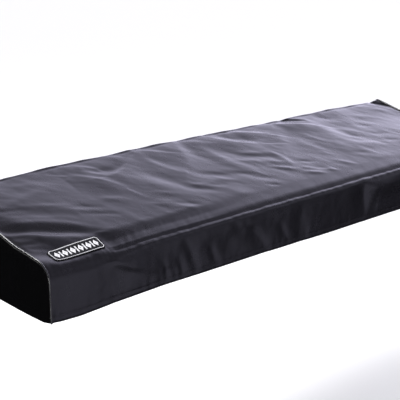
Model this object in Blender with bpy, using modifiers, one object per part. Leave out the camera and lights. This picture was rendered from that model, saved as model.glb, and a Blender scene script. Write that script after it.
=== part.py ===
"""Padded dust cover for a full-size electronic keyboard.

A fitted, hollow cover of padded black nylon, open underneath. One wrap panel runs from the front hem
over the top to the back hem, a wedge-shaped panel closes each end, a welt is sewn into each end seam,
and a small patch sits near the front left corner.

Drawing coordinates: x from the left end, y from the front face to the back, z up from the hem.
The finished object has its origin under the middle of its top, where the keyboard carries it.
"""

import math

import bmesh
import bpy
import numpy as np

# Driving dimensions, in metres
LENGTH = 1.420
DEPTH = 0.3535
LEDGE_HEIGHT = 0.0990
TOP_LEVEL = 0.1092
TOP_LEVEL_Y = 0.030
TOP_BACK_HEIGHT = 0.1745
CLOTH = 0.0030
CORNER_RADIUS = 0.028
BACK_RADIUS = 0.009
WELT_RADIUS = 0.0019
GAP = 0.0003
FACET_GAP = 0.0005
BLOCK_LEFT = 0.150
BLOCK_RIGHT = 0.060
BLOCK_FADE = 0.034
SEAM_DROP = 0.0022
SEAM_DROP_WIDTH = 0.016
SEAM_CALM_WIDTH = 0.020
END_BULGE = 0.0035
END_RIPPLE = 0.25
END_SWELL_TOP = 0.75
BADGE_LENGTH = 0.115
BADGE_HEIGHT = 0.034
BADGE_THICK = 0.0012
BADGE_X = 0.028
BADGE_REACH = 0.0300
BADGE_TILT = 0.020
BADGE_CUT = 0.006

TOP_SLOPE = (TOP_BACK_HEIGHT - TOP_LEVEL) / (DEPTH - TOP_LEVEL_Y)
TOP_ANGLE = math.atan(TOP_SLOPE)

# Mesh steps along the cover and round its girth
COLUMNS = 96
FRONT_SPANS = 4
CORNER_SPANS = 11
TOP_SPANS = 14
BACK_EDGE_SPANS = 3
BACK_SPANS = 3
CORNER_END_Y = 0.070
ARC_SPANS = 6
END_ROWS = 6
BADGE_COLUMNS = 14
BADGE_ROWS = 6

# Girth over the keys, front edge to top plane: station, y, z above the ledge, spans to the next
KEY_CORNER = (
    ("front_edge_low", 0.0000, -0.0075, 1),
    ("front_edge", 0.0022, -0.0018, 1),
    ("ledge", 0.0070, 0.0002, 1),
    ("ledge_back", 0.0122, 0.0014, 1),
    ("step", 0.0152, 0.0056, 1),
    ("roll_front", 0.0200, 0.0106, 1),
    ("roll_crest", 0.0275, 0.0129, 1),
    ("roll_back", 0.0380, 0.0130, 1),
    ("valley", 0.0490, 0.0131, 1),
    ("valley_rise", 0.0595, 0.0158, 2),
)

# Height of the hem above its corners: x, lift
HEM_LIFT = (
    (0.000, -0.0010),
    (0.025, -0.0030),
    (0.070, -0.0024),
    (0.140, 0.0008),
    (0.260, 0.0040),
    (0.400, 0.0030),
    (0.550, 0.0024),
    (0.680, 0.0006),
    (0.800, -0.0014),
    (LENGTH, -0.0010),
)

# Height of an end panel's hem: y, lift
END_HEM_LIFT = (
    (0.000, -0.0010),
    (0.020, -0.0044),
    (0.060, -0.0024),
    (0.110, 0.0004),
    (0.160, 0.0030),
    (0.260, 0.0024),
    (DEPTH, 0.0000),
)

# Height of the back edge above the plain top: x, lift. It bows up, and its corners stand like ears
BACK_LIFT = (
    (0.000, 0.0058),
    (0.035, 0.0022),
    (0.250, 0.0032),
    (0.450, 0.0046),
    (0.650, 0.0052),
    (0.850, 0.0054),
    (1.000, 0.0052),
    (1.140, 0.0078),
    (1.260, 0.0046),
    (1.340, 0.0036),
    (1.385, 0.0016),
    (LENGTH, 0.0068),
)
BACK_LIFT_START = 0.230
HEM_LIFT_TOP = 0.050

# Where folds fade in or out, as a start and an end: y over the keys, over the blocks, and beside each drop
KEY_FOLDS_START = (0.050, 0.066)
BLOCK_FOLDS_START = (0.030, 0.060)
FRONT_DROP_END = (-0.002, 0.004)
BACK_DROP_START = (DEPTH - 0.004, DEPTH - 0.001)

# Main folds of the top: name, start x y, middle x y, end x y, half width, height (valleys are negative)
TOP_FOLDS = (
    ("block_crest", 0.004, 0.138, 0.080, 0.106, 0.160, 0.050, 0.014, 0.0045),
    ("block_valley", 0.000, 0.156, 0.085, 0.132, 0.180, 0.066, 0.015, -0.0050),
    ("plateau_edge", 0.020, 0.188, 0.120, 0.158, 0.225, 0.082, 0.020, 0.0028),
    ("left_streak", 0.040, 0.225, 0.110, 0.250, 0.175, 0.272, 0.018, 0.0026),
    ("pocket_crest", 0.275, 0.300, 0.318, 0.246, 0.360, 0.190, 0.016, 0.0042),
    ("pocket_valley", 0.318, 0.290, 0.362, 0.282, 0.420, 0.306, 0.016, -0.0044),
    ("hook_crest", 0.338, 0.256, 0.392, 0.260, 0.478, 0.322, 0.016, 0.0044),
    ("long_crest", 0.382, 0.262, 0.434, 0.190, 0.468, 0.092, 0.019, 0.0046),
    ("long_valley", 0.452, 0.245, 0.472, 0.170, 0.508, 0.112, 0.017, -0.0036),
    ("bent_crest", 0.496, 0.332, 0.480, 0.258, 0.526, 0.182, 0.016, 0.0038),
    ("broad_crest", 0.622, 0.345, 0.586, 0.282, 0.545, 0.212, 0.023, 0.0050),
    ("broad_valley", 0.650, 0.335, 0.622, 0.255, 0.602, 0.185, 0.021, -0.0040),
    ("middle_crest", 0.654, 0.284, 0.668, 0.216, 0.686, 0.150, 0.016, 0.0032),
    ("sickle_crest", 0.724, 0.348, 0.734, 0.290, 0.806, 0.254, 0.016, 0.0056),
    ("sickle_valley", 0.758, 0.345, 0.768, 0.306, 0.832, 0.272, 0.016, -0.0032),
    ("right_slope", 0.932, 0.305, 0.900, 0.255, 0.862, 0.200, 0.023, 0.0036),
    ("great_crest", 1.050, 0.335, 1.030, 0.235, 1.064, 0.156, 0.023, 0.0062),
    ("great_tail", 1.058, 0.160, 1.085, 0.138, 1.132, 0.132, 0.016, 0.0036),
    ("great_valley", 1.104, 0.300, 1.082, 0.205, 1.146, 0.156, 0.019, -0.0042),
    ("far_hollow", 1.115, 0.342, 1.155, 0.330, 1.180, 0.300, 0.026, -0.0036),
    ("far_crest", 1.236, 0.340, 1.205, 0.286, 1.166, 0.230, 0.025, 0.0050),
    ("ear_crest", 1.368, 0.346, 1.388, 0.322, 1.396, 0.280, 0.015, 0.0044),
)

# Lips where the cloth folds over the back edge: name, start x y, middle x y, end x y, half width, height
BACK_LIPS = (
    ("lip_a", 0.302, 0.346, 0.324, 0.330, 0.352, 0.310, 0.015, 0.0038),
    ("lip_b", 0.420, 0.350, 0.434, 0.336, 0.446, 0.320, 0.015, 0.0026),
    ("lip_c", 0.502, 0.348, 0.524, 0.334, 0.552, 0.316, 0.015, 0.0040),
    ("lip_d", 0.640, 0.352, 0.662, 0.340, 0.688, 0.328, 0.015, 0.0034),
    ("lip_e", 0.802, 0.350, 0.846, 0.326, 0.888, 0.300, 0.016, 0.0056),
    ("lip_f", 0.955, 0.334, 1.002, 0.312, 1.060, 0.284, 0.017, 0.0062),
)

# Folds of the front face: name, start x z, middle x z, end x z, half width, height
FRONT_FOLDS = (
    ("pinch_crease", 0.128, 0.092, 0.180, 0.060, 0.268, 0.028, 0.014, -0.0030),
    ("under_bulge", 0.170, 0.030, 0.215, 0.022, 0.250, 0.012, 0.018, 0.0020),
    ("lower_pleat", 0.498, 0.058, 0.530, 0.044, 0.562, 0.016, 0.015, 0.0028),
    ("hollow", 0.440, 0.084, 0.475, 0.078, 0.500, 0.068, 0.018, -0.0026),
    ("panel_break", 0.690, 0.080, 0.686, 0.050, 0.682, 0.012, 0.018, 0.0022),
    ("right_bulge", 0.935, 0.068, 0.980, 0.070, 1.030, 0.066, 0.022, 0.0040),
    ("right_sink", 0.930, 0.034, 0.980, 0.038, 1.040, 0.034, 0.016, -0.0022),
    ("far_pleat", 1.220, 0.080, 1.228, 0.050, 1.240, 0.016, 0.018, 0.0024),
)

# Folds of the back face, which are plain: name, start x z, middle x z, end x z, half width, height
BACK_FOLDS = (
    ("back_pleat_a", 0.320, 0.150, 0.330, 0.090, 0.322, 0.020, 0.024, 0.0030),
    ("back_pleat_b", 0.655, 0.155, 0.640, 0.090, 0.650, 0.020, 0.026, 0.0026),
    ("back_pleat_c", 1.000, 0.155, 1.018, 0.090, 1.010, 0.020, 0.026, 0.0034),
)

# How a fold is measured and how it dies away towards its ends
FOLD_STEPS = 12
FOLD_END_SHARE = 0.12
FOLD_END_POWER = 0.7

# Name, colour, roughness
MATERIALS = {
    "padded_nylon": ((0.030, 0.029, 0.034), 0.42),
    "end_nylon": ((0.016, 0.016, 0.018), 0.50),
    "welt_satin": ((0.020, 0.020, 0.022), 0.22),
    "badge_cloth": ((0.022, 0.022, 0.024), 0.55),
}


def smooth_step(low, high, value):
    """0 below low, 1 above high, with level ends."""
    t = np.clip((value - low) / (high - low), 0.0, 1.0)
    return t * t * (3.0 - 2.0 * t)


def looked_up(table, at):
    """The second column of a table, read between its rows at the first column's value."""
    places, values = np.array(table).T
    return np.interp(at, places, values)


def top_height(y):
    """Height of the plain top plane at y."""
    return TOP_LEVEL + TOP_SLOPE * (y - TOP_LEVEL_Y)


def straight(start, end, spans):
    """Points from start up to, and without, end."""
    shares = np.arange(spans) / spans
    return [tuple(np.array(start) + share * (np.array(end) - np.array(start))) for share in shares]


def arc(centre, radius, start_angle, end_angle, spans):
    """Points of an arc, without its last one."""
    angles = start_angle + (end_angle - start_angle) * np.arange(spans) / spans
    return [(centre[0] + radius * math.cos(a), centre[1] + radius * math.sin(a)) for a in angles]


def through(points, spans):
    """A smooth curve through the points, without its last one, with a number of spans after each."""
    padded = [points[0]] + list(points) + [points[-1]]
    curve = []
    for index, count in enumerate(spans):
        p0, p1, p2, p3 = (np.array(padded[index + k]) for k in range(4))
        for t in np.arange(count) / count:
            square = (2 * p0 - 5 * p1 + 4 * p2 - p3) * t**2
            cube = (3 * p1 - p0 - 3 * p2 + p3) * t**3
            curve.append(tuple(0.5 * (2 * p1 + (p2 - p0) * t + square + cube)))
    return curve


def back_part(top_start):
    """The girth from a point of the top to the back hem, the same all along the cover."""
    lean_y, lean_z = BACK_RADIUS * math.sin(TOP_ANGLE), BACK_RADIUS * math.cos(TOP_ANGLE)
    centre = (DEPTH - BACK_RADIUS, top_height(DEPTH - BACK_RADIUS) - BACK_RADIUS / math.cos(TOP_ANGLE))
    edge_start = (centre[0] - lean_y, centre[1] + lean_z)
    points = straight(top_start, edge_start, TOP_SPANS)
    points += arc(centre, BACK_RADIUS, math.pi / 2 + TOP_ANGLE, 0.0, BACK_EDGE_SPANS)
    points += straight((DEPTH, centre[1]), (DEPTH, 0.0), BACK_SPANS)
    return points + [(DEPTH, 0.0)]


def key_girth():
    """The girth over the keys, with its ledge, step and soft roll, from front hem to back hem."""
    top_start = (CORNER_END_Y, top_height(CORNER_END_Y))
    stations = [(y, LEDGE_HEIGHT + z) for _, y, z, _ in KEY_CORNER] + [top_start]
    points = straight((0.0, 0.0), stations[0], FRONT_SPANS)
    points += through(stations, [spans for _, _, _, spans in KEY_CORNER])
    return np.array(points + back_part(top_start))


def block_girth():
    """The girth over the end blocks, with one round front corner."""
    top_start = (CORNER_END_Y, top_height(CORNER_END_Y))
    touch_y = CORNER_RADIUS * (1 - math.sin(TOP_ANGLE))
    touch = (touch_y, top_height(touch_y))
    centre = (CORNER_RADIUS, touch[1] - CORNER_RADIUS * math.cos(TOP_ANGLE))
    points = straight((0.0, 0.0), (0.0, centre[1]), FRONT_SPANS)
    points += arc(centre, CORNER_RADIUS, math.pi, math.pi / 2 + TOP_ANGLE, ARC_SPANS)
    points += straight(touch, top_start, CORNER_SPANS - ARC_SPANS)
    return np.array(points + back_part(top_start))


def block_share(x):
    """1 over the end blocks, 0 over the keys."""
    left = 1.0 - smooth_step(BLOCK_LEFT - BLOCK_FADE / 2, BLOCK_LEFT + BLOCK_FADE / 2, x)
    right_start = LENGTH - BLOCK_RIGHT
    right = smooth_step(right_start - BLOCK_FADE / 2, right_start + BLOCK_FADE / 2, x)
    return left + right


def fold_height(table, across, along):
    """Summed height of a table's folds at each point: a round crest that fades towards both ends."""
    total = np.zeros_like(across)
    for _, x0, y0, x1, y1, x2, y2, half_width, height in table:
        best = np.full(across.shape, np.inf)
        share = np.zeros_like(across)
        for t in np.linspace(0.0, 1.0, FOLD_STEPS):
            px = (1 - t) ** 2 * x0 + 2 * t * (1 - t) * x1 + t**2 * x2
            py = (1 - t) ** 2 * y0 + 2 * t * (1 - t) * y1 + t**2 * y2
            distance = np.hypot(across - px, along - py)
            nearer = distance < best
            best = np.where(nearer, distance, best)
            share = np.where(nearer, t, share)
        inner = FOLD_END_SHARE + (1 - 2 * FOLD_END_SHARE) * share
        fade = np.sin(np.pi * inner) ** FOLD_END_POWER
        total += height * fade * np.exp(-((best / half_width) ** 2))
    return total


def outward(girth):
    """Unit vectors that point out of the cover, square to the girth in its own plane."""
    tangent = np.gradient(girth, axis=0)
    tangent /= np.linalg.norm(tangent, axis=1)[:, None]
    return np.stack([-tangent[:, 1], tangent[:, 0]], axis=1)


def wrap_points(x):
    """Outer surface of the wrap panel at the places x, as an array of x, girth step and (x, y, z)."""
    share = block_share(x)[:, None, None]
    girth = share * block_girth() + (1 - share) * key_girth()
    normals = np.array([outward(line) for line in girth])
    y, z = girth[..., 0], girth[..., 1]
    across = np.broadcast_to(x[:, None], y.shape)
    from_end = np.minimum(across, LENGTH - across)
    calm = smooth_step(0.0, SEAM_CALM_WIDTH, from_end)
    on_front = 1.0 - smooth_step(*FRONT_DROP_END, y)
    on_back = smooth_step(*BACK_DROP_START, y)
    on_top = smooth_step(*KEY_FOLDS_START, y) + share[..., 0] * smooth_step(*BLOCK_FOLDS_START, y)
    on_top = np.minimum(on_top, 1.0) * (1 - on_back)
    rise = on_top * (fold_height(TOP_FOLDS, across, y) + fold_height(BACK_LIPS, across, y))
    rise += on_front * fold_height(FRONT_FOLDS, across, z)
    rise += on_back * fold_height(BACK_FOLDS, across, z)
    rise *= calm
    rise -= SEAM_DROP * np.clip(1 - from_end / SEAM_DROP_WIDTH, 0.0, 1.0) ** 2
    at_hem = (1 - smooth_step(0.0, HEM_LIFT_TOP, z)) * (1 - on_back)
    at_back = smooth_step(BACK_LIFT_START, DEPTH, y) * z / TOP_BACK_HEIGHT
    lift = at_hem * looked_up(HEM_LIFT, across) + at_back * looked_up(BACK_LIFT, across)
    y = y + rise * normals[..., 0]
    z = z + rise * normals[..., 1] + lift
    return np.stack([across, y, z], axis=-1)


def end_outline(side):
    """Outer girth at an end seam, from front hem to back hem, as (y, z)."""
    return wrap_points(np.array([0.0 if side == "left" else LENGTH]))[0, :, 1:]


def make_collection(name):
    collection = bpy.data.collections.new(name)
    bpy.context.scene.collection.children.link(collection)
    return collection


def make_material(name):
    colour, roughness = MATERIALS[name]
    material = bpy.data.materials.new(name)
    material.use_nodes = True
    shader = material.node_tree.nodes["Principled BSDF"]
    shader.inputs["Base Color"].default_value = (*colour, 1.0)
    shader.inputs["Roughness"].default_value = roughness
    shader.inputs["Metallic"].default_value = 0.0
    return material


def place(data, name, material, collection):
    """Adds the object, moved from drawing coordinates to the origin under the middle of the top."""
    obj = bpy.data.objects.new(name, data)
    rest = top_height(DEPTH / 2) - CLOTH / math.cos(TOP_ANGLE)
    obj.location = (-LENGTH / 2, -DEPTH / 2, -rest)
    data.materials.append(material)
    collection.objects.link(obj)
    return obj


def sheet_mesh(name, columns, rows, point_of):
    """A grid mesh of columns by rows, with point_of(column, row) giving each point."""
    grid = bmesh.new()
    bmesh.ops.create_grid(grid, x_segments=columns, y_segments=rows, size=1.0)
    for vert in grid.verts:
        column = round((vert.co.x + 1) / 2 * columns)
        row = round((vert.co.y + 1) / 2 * rows)
        vert.co = point_of(column, row)
    bmesh.ops.recalc_face_normals(grid, faces=grid.faces)
    mesh = bpy.data.meshes.new(name)
    grid.to_mesh(mesh)
    grid.free()
    mesh.shade_smooth()
    return mesh


def face_out(mesh, direction):
    """Turns all faces of an open sheet so that the first one looks along direction."""
    if mesh.polygons[0].normal.dot(direction) < 0:
        mesh.flip_normals()


def thicken(obj, thickness, offset=-1.0):
    """Gives an open sheet its thickness, inwards from the faces' outer side."""
    shell = obj.modifiers.new("thickness", "SOLIDIFY")
    shell.thickness = thickness
    shell.offset = offset
    shell.use_rim = True
    shell.use_even_offset = True


def make_wrap(collection):
    inset = CLOTH + GAP
    x = np.linspace(inset, LENGTH - inset, COLUMNS + 1)
    points = wrap_points(x)
    mesh = sheet_mesh("wrap_panel", COLUMNS, points.shape[1] - 1, lambda i, j: points[i, j])
    face_out(mesh, (0.0, -1.0, 0.0))
    wrap = place(mesh, "wrap_panel", make_material("padded_nylon"), collection)
    thicken(wrap, CLOTH)


def make_end_panel(side, collection):
    """A wedge-shaped end panel, a little bulged, whose edge follows the girth at the seam."""
    outline = end_outline(side)
    crown = outline[FRONT_SPANS:len(outline) - BACK_SPANS]
    outer_x = 0.0 if side == "left" else LENGTH
    away = -1.0 if side == "left" else 1.0

    def point_of(column, row):
        y, crest = crown[column]
        share = row / END_ROWS
        below = 1 - share
        swell = math.sin(math.pi * y / DEPTH) * math.sin(math.pi * min(0.5, END_SWELL_TOP * below))
        ripple = END_RIPPLE * math.sin(3.0 * math.pi * y / DEPTH) * below
        low = looked_up(END_HEM_LIFT, y)
        return (outer_x + away * END_BULGE * swell * (1 + ripple), y, low + (crest - low) * share)

    name = "end_panel_" + side
    mesh = sheet_mesh(name, len(crown) - 1, END_ROWS, point_of)
    face_out(mesh, (away, 0.0, 0.0))
    panel = place(mesh, name, make_material("end_nylon"), collection)
    thicken(panel, CLOTH)


def make_welt(side, collection):
    """The round welt that lies in the outer corner of an end seam."""
    outline = end_outline(side)
    normals = outward(outline)
    reach = WELT_RADIUS + FACET_GAP
    x = (CLOTH + GAP) / 2 if side == "left" else LENGTH - (CLOTH + GAP) / 2
    name = "piping_" + side
    curve = bpy.data.curves.new(name, "CURVE")
    curve.dimensions = "3D"
    curve.bevel_depth = WELT_RADIUS
    curve.bevel_resolution = 2
    curve.use_fill_caps = True
    spline = curve.splines.new("POLY")
    spline.points.add(len(outline) - 1)
    for point, (y, z), (out_y, out_z) in zip(spline.points, outline, normals):
        point.co = (x, y + reach * out_y, z + reach * out_z, 1.0)
    place(curve, name, make_material("welt_satin"), collection)


def make_badge(collection):
    """The patch on the top near the front left corner, laid on the cloth, with cut corners."""
    x = BADGE_X + BADGE_LENGTH * np.arange(BADGE_COLUMNS + 1) / BADGE_COLUMNS
    lines = wrap_points(x)[:, FRONT_SPANS:, 1:]

    def point_of(column, row):
        from_end = BADGE_LENGTH * min(column, BADGE_COLUMNS - column) / BADGE_COLUMNS
        cut = max(0.0, BADGE_CUT - from_end)
        up = min(max(BADGE_HEIGHT * row / BADGE_ROWS, cut), BADGE_HEIGHT - cut)
        line = lines[column]
        raised = line + FACET_GAP * outward(line)
        steps = np.linalg.norm(np.diff(line, axis=0), axis=1)
        lengths = np.concatenate([[0.0], np.cumsum(steps)])
        at = BADGE_REACH + BADGE_TILT * (x[column] - BADGE_X) + up
        return (x[column], np.interp(at, lengths, raised[:, 0]), np.interp(at, lengths, raised[:, 1]))

    mesh = sheet_mesh("badge_patch", BADGE_COLUMNS, BADGE_ROWS, point_of)
    face_out(mesh, (0.0, 0.0, 1.0))
    badge = place(mesh, "badge_patch", make_material("badge_cloth"), collection)
    thicken(badge, BADGE_THICK, offset=1.0)


def main():
    for obj in list(bpy.data.objects):
        bpy.data.objects.remove(obj)
    collection = make_collection("padded_keyboard_cover")
    make_wrap(collection)
    for side in ("left", "right"):
        make_end_panel(side, collection)
        make_welt(side, collection)
    make_badge(collection)


main()
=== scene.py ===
"""Padded dust cover for an electronic keyboard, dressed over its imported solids.

Drawing coordinates: x from the left end, y from the front face to the back, z up from the hem. Every piece
is made in them and then moved to the frame's origin, which lies inside, under the middle of the top.
"""

import math

import bmesh
import bpy
import numpy as np
from mathutils import Matrix, Vector, noise


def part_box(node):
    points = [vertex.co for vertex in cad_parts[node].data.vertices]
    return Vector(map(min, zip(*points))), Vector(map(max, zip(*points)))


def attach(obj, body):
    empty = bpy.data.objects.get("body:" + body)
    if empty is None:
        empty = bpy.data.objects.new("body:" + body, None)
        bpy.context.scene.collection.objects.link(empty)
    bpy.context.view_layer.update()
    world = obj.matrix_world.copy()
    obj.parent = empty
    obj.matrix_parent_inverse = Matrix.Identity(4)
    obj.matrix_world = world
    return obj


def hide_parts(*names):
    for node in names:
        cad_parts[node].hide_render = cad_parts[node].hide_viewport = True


bl_info = {
    "name": "Padded Keyboard Cover",
    "version": (1, 0, 0),
    "blender": (4, 5, 0),
    "location": "3D View > Sidebar > Cover",
    "description": "Sews a padded, piped dust cover around its packed solids",
    "category": "Object",
}

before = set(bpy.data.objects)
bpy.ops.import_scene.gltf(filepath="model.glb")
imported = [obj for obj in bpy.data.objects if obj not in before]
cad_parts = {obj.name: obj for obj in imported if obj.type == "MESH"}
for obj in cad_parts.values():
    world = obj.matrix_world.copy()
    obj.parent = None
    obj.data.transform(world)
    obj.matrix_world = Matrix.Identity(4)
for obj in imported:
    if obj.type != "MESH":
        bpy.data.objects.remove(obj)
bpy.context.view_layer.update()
WRAP_LOW, WRAP_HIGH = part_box("wrap_panel")
ROOT = "root"

MM = 0.001
CLOTH = 3.0 * MM
GAP = 0.3 * MM
LENGTH = WRAP_HIGH[0] - WRAP_LOW[0] + 2 * (CLOTH + GAP)

# The tables are in millimetres. Girth over the keys, from the front edge to the top plane: station, y and z
# above the ledge at the left, then at the right, spans to the next
KEY_CORNER = (
    ("front_edge_low", 0.0, -26.0, 0.0, -26.0, 5),
    ("front_edge", 1.6, -10.0, 1.6, -10.0, 3),
    ("front_lip", 4.6, -4.0, 4.6, -4.0, 4),
    ("ledge", 9.0, -2.0, 8.8, -2.0, 4),
    ("ledge_back", 13.0, -0.8, 12.0, -1.4, 4),
    ("step", 15.8, 1.2, 15.0, 0.6, 4),
    ("roll_front", 20.0, 4.3, 20.0, 4.4, 4),
    ("roll_crest", 27.0, 6.6, 25.6, 7.2, 4),
    ("roll_back", 34.5, 8.5, 33.5, 9.3, 4),
    ("roll_edge", 39.5, 9.9, 40.0, 10.9, 4),
    ("valley", 47.5, 12.7, 47.5, 12.8, 4),
    ("valley_rise", 59.0, 16.3, 59.0, 15.8, 4),
)

# Height of the ledge and its step above their stations: x, lift
LEDGE_LIFT = (
    (120, -3.6),
    (200, -3.3),
    (300, -2.0),
    (450, -1.2),
    (560, -0.6),
    (800, 0.0),
)

# Height of the left end seam above the plain top: y, lift
SEAM_LIFT = (
    (0, 0.0),
    (12, -3.0),
    (34, -3.6),
    (60, -5.2),
    (85, -7.2),
    (105, -8.2),
    (125, -7.1),
    (145, -5.6),
    (200, -3.4),
    (300, 0.0),
)

# Height of the hem above its corners: x, lift
HEM_LIFT = (
    (0, -1.8),
    (25, -4.4),
    (70, -5.8),
    (140, -2.4),
    (260, 0.6),
    (400, -0.4),
    (550, -0.6),
    (680, -2.4),
    (800, -4.0),
    (LENGTH / MM, -4.4),
)

# Height of an end panel's hem: y, lift
END_HEM_LIFT = (
    (0, -1.0),
    (20, -4.4),
    (60, -2.4),
    (110, 0.4),
    (160, 3.0),
    (260, 2.4),
    (354, 0.0),
)

# Height of the back edge above the plain top: x, lift. It bows up, and its corners stand like ears
BACK_LIFT = (
    (0, 4.0),
    (35, -1.0),
    (130, -2.2),
    (180, 0.6),
    (250, 3.2),
    (450, 4.8),
    (650, 5.4),
    (850, 5.2),
    (990, 4.2),
    (1060, 5.6),
    (1140, 8.0),
    (1260, 4.6),
    (1340, 4.2),
    (1385, 4.6),
    (LENGTH / MM, 6.8),
)

# Unevenness of the padding: where, height, shift of the pattern in metres, stretch along the folds, size
UNEVENNESS = (
    ("top", 0.9, 0.0, 2.4, 70),
    ("top", 0.4, 3.0, 2.0, 26),
    ("top", 0.16, 5.0, 1.6, 11),
    ("drops", 1.0, 1.0, 1.6, 55),
    ("drops", 0.4, 2.0, 1.6, 18),
    ("roll", 0.4, 7.0, 2.0, 30),
    ("ledge", 1.2, 0.0, 6.0, 45),
    ("ledge", 0.6, 4.0, 4.0, 14),
    ("corner", 0.8, 0.0, 3.0, 10),
)

# Folds of the top: name, start x y, middle x y, end x y, width of the near and far flank, height
TOP_FOLDS = (
    ("block_valley", -12, 164, 75, 110, 152, 72, 12, 25, -3.9),
    ("block_crest", 4, 146, 77, 94, 142, 62, 36, 12, 2.2),
    ("plateau_edge", 10, 172, 120, 160, 182, 74, 20, 12, 2.2),
    ("left_streak", 45, 222, 120, 244, 230, 278, 40, 18, 1.6),
    ("pocket_crest", 277, 296, 328, 258, 344, 206, 52, 11, 2.8),
    ("hook_crest", 346, 259, 384, 252, 470, 322, 36, 11, 2.8),
    ("pocket_valley", 326, 302, 346, 272, 400, 286, 10, 18, -3.0),
    ("long_crest", 360, 256, 432, 179, 454, 98, 56, 25, 1.8),
    ("long_valley", 436, 238, 444, 186, 496, 118, 16, 22, -1.4),
    ("long_foot", 468, 150, 484, 126, 520, 110, 14, 18, -0.9),
    ("bent_crest", 490, 330, 472, 261, 522, 196, 32, 15, 2.2),
    ("broad_crest", 612, 350, 588, 281, 545, 228, 46, 20, 2.4),
    ("broad_valley", 634, 340, 611, 270, 632, 200, 18, 24, -1.4),
    ("middle_crest", 652, 288, 658, 222, 680, 156, 34, 16, 1.8),
    ("sickle_crest", 725, 342, 752, 284, 820, 258, 60, 12, 3.4),
    ("sickle_valley", 752, 338, 766, 302, 826, 278, 12, 26, -1.6),
    ("right_slope", 928, 309, 899, 270, 858, 219, 40, 22, 2.2),
    ("great_crest", 1072, 338, 1034, 250, 1056, 162, 60, 34, 3.6),
    ("great_tail", 1066, 160, 1094, 147, 1130, 130, 26, 14, 1.5),
    ("great_valley", 1098, 300, 1078, 205, 1148, 150, 14, 18, -0.8),
    ("far_hollow", 1105, 335, 1140, 320, 1185, 295, 26, 34, -2.2),
    ("far_crest", 1222, 338, 1196, 286, 1160, 236, 40, 26, 1.8),
    ("ear_crest", 1358, 346, 1378, 320, 1400, 284, 50, 12, 2.0),
    ("ear_valley", 1378, 356, 1398, 335, 1424, 300, 8, 12, -4.4),
    ("lip_a", 312, 335, 331, 323, 350, 304, 36, 8, 2.6),
    ("lip_b", 424, 346, 436, 336, 448, 322, 20, 9, 1.3),
    ("lip_c", 507, 345, 526, 331, 550, 316, 40, 8, 2.4),
    ("lip_d", 646, 344, 664, 334, 688, 322, 30, 9, 1.4),
    ("lip_e", 808, 342, 850, 326, 884, 298, 55, 10, 3.5),
    ("lip_f", 962, 341, 1007, 323, 1056, 292, 55, 8, 4.8),
    ("lip_f_valley", 984, 354, 1016, 341, 1052, 318, 7, 10, -4.0),
    ("lip_g", 1020, 352, 1042, 345, 1066, 328, 12, 9, 2.4),
)

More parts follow.
